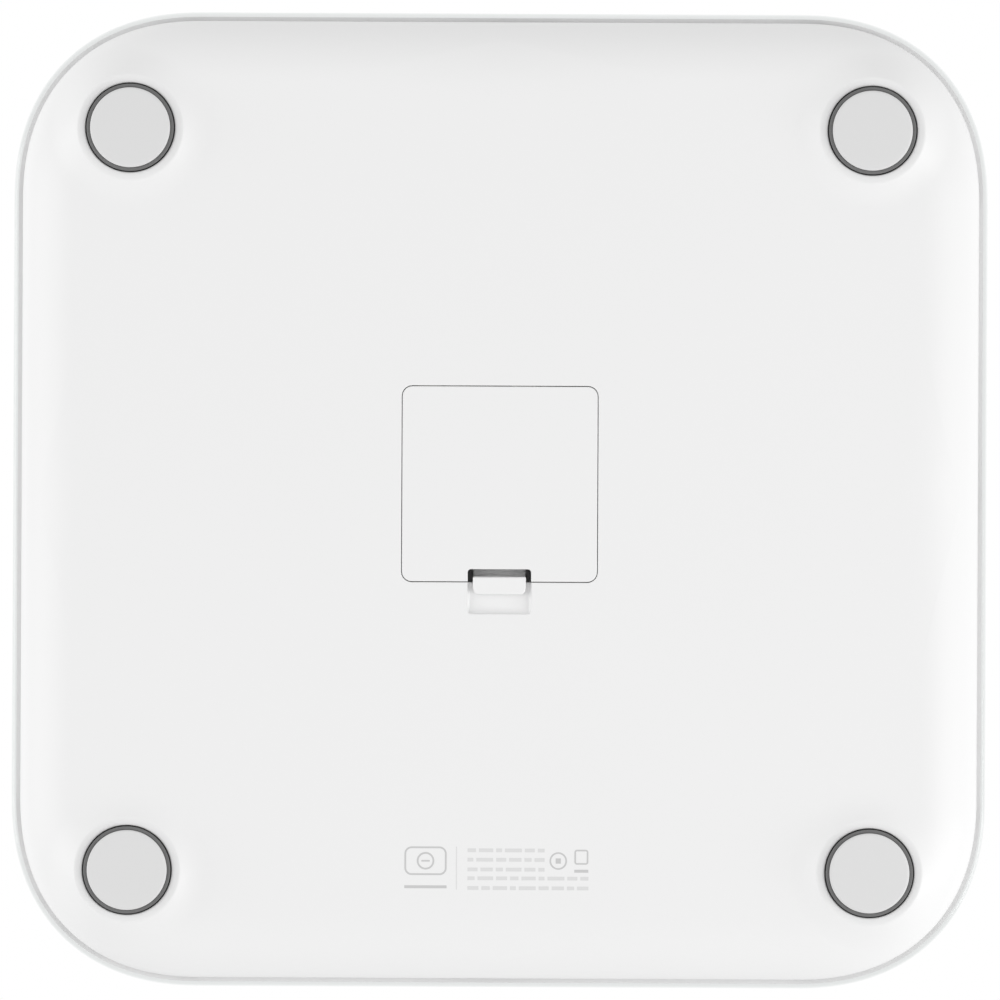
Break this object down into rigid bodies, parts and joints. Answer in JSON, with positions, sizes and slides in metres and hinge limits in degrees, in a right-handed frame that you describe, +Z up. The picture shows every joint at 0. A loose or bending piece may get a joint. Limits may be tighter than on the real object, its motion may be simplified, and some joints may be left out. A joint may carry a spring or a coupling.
{
  "type": "digital bathroom scale",
  "caption": "Slim square digital bathroom scale with a soft-cornered glass platform, white pan casing, round feet and a latched battery door underneath.",
  "frame": {"origin": "middle of the footprint at the underside of the feet", "axes": "+Z up through the platform, +Y towards the display side, X across"},
  "size_m": [0.3, 0.3, 0.0288],
  "materials": {
    "clear_glass": "polished tempered sheet",
    "white_casing": "white moulded plastic, fine satin",
    "grey_pad": "light grey non-slip pad",
    "dark_carrier": "dark grey moulded plastic",
    "bond_tape": "white foam bonding tape",
    "cell_steel": "pressed spring steel",
    "screw_steel": "zinc plated",
    "cell_jacket": "plain foil sleeve",
    "contact_nickel": "nickel plated spring steel",
    "circuit_board": "green solder resist",
    "black_parts": "black moulded",
    "diffuser_film": "translucent film",
    "lead_sleeve": "light grey sleeve",
    "print_grey": "light grey printing ink"
  },
  "bodies": {
    "scale_body": {"glass_platform": "clear_glass", "platform_tape": "bond_tape", "upper_frame": "white_casing", "bottom_shell": "white_casing", "battery_tray": "white_casing", "load_cell_1": "cell_steel", "cell_clamp_1": "white_casing", "case_screw_1": "screw_steel", "cell_lead_1": "lead_sleeve", "battery_1": "cell_jacket", "board_screw_1": "screw_steel", "load_cell_2": "cell_steel", "cell_clamp_2": "white_casing", "case_screw_2": "screw_steel", "cell_lead_2": "lead_sleeve", "battery_2": "cell_jacket", "board_screw_2": "screw_steel", "load_cell_3": "cell_steel", "cell_clamp_3": "white_casing", "case_screw_3": "screw_steel", "cell_lead_3": "lead_sleeve", "battery_3": "cell_jacket", "board_screw_3": "screw_steel", "load_cell_4": "cell_steel", "cell_clamp_4": "white_casing", "case_screw_4": "screw_steel", "cell_lead_4": "lead_sleeve", "battery_4": "cell_jacket", "board_screw_4": "screw_steel", "contact_negative": "contact_nickel", "contact_positive": "contact_nickel", "contact_bridge_middle": "contact_nickel", "contact_bridge_left": "contact_nickel", "contact_bridge_right": "contact_nickel", "main_board": "circuit_board", "controller_chip": "black_parts", "lead_socket": "white_casing", "display_block": "black_parts", "display_diffuser": "diffuser_film", "battery_lead_1": "lead_sleeve", "battery_lead_2": "lead_sleeve"},
    "door": {"battery_door": "white_casing"},
    "latch": {"door_latch": "white_casing"},
    "foot_1": {"foot_carrier_1": "dark_carrier", "foot_pad_1": "grey_pad"},
    "foot_2": {"foot_carrier_2": "dark_carrier", "foot_pad_2": "grey_pad"},
    "foot_3": {"foot_carrier_3": "dark_carrier", "foot_pad_3": "grey_pad"},
    "foot_4": {"foot_carrier_4": "dark_carrier", "foot_pad_4": "grey_pad"}
  },
  "joints": [
    {"name": "battery_door_hinge", "type": "hinge", "parent": "scale_body", "child": "door", "pos_m": [0, 0.0352, 0.005], "axis": [1, 0, 0], "range_deg": [0, 75]},
    {"name": "door_latch_flex", "type": "hinge", "parent": "door", "child": "latch", "pos_m": [0, -0.022, 0.0129], "axis": [1, 0, 0], "range_deg": [0, 9], "stiffness_Nm_per_rad": 0.12},
    {"name": "foot_1_press", "type": "slide", "parent": "scale_body", "child": "foot_1", "axis": [0, 0, 1], "range_m": [0, 0.0004], "stiffness_N_per_m": 1000},
    {"name": "foot_2_press", "type": "slide", "parent": "scale_body", "child": "foot_2", "axis": [0, 0, 1], "range_m": [0, 0.0004], "stiffness_N_per_m": 1000},
    {"name": "foot_3_press", "type": "slide", "parent": "scale_body", "child": "foot_3", "axis": [0, 0, 1], "range_m": [0, 0.0004], "stiffness_N_per_m": 1000},
    {"name": "foot_4_press", "type": "slide", "parent": "scale_body", "child": "foot_4", "axis": [0, 0, 1], "range_m": [0, 0.0004], "stiffness_N_per_m": 1000}
  ]
}
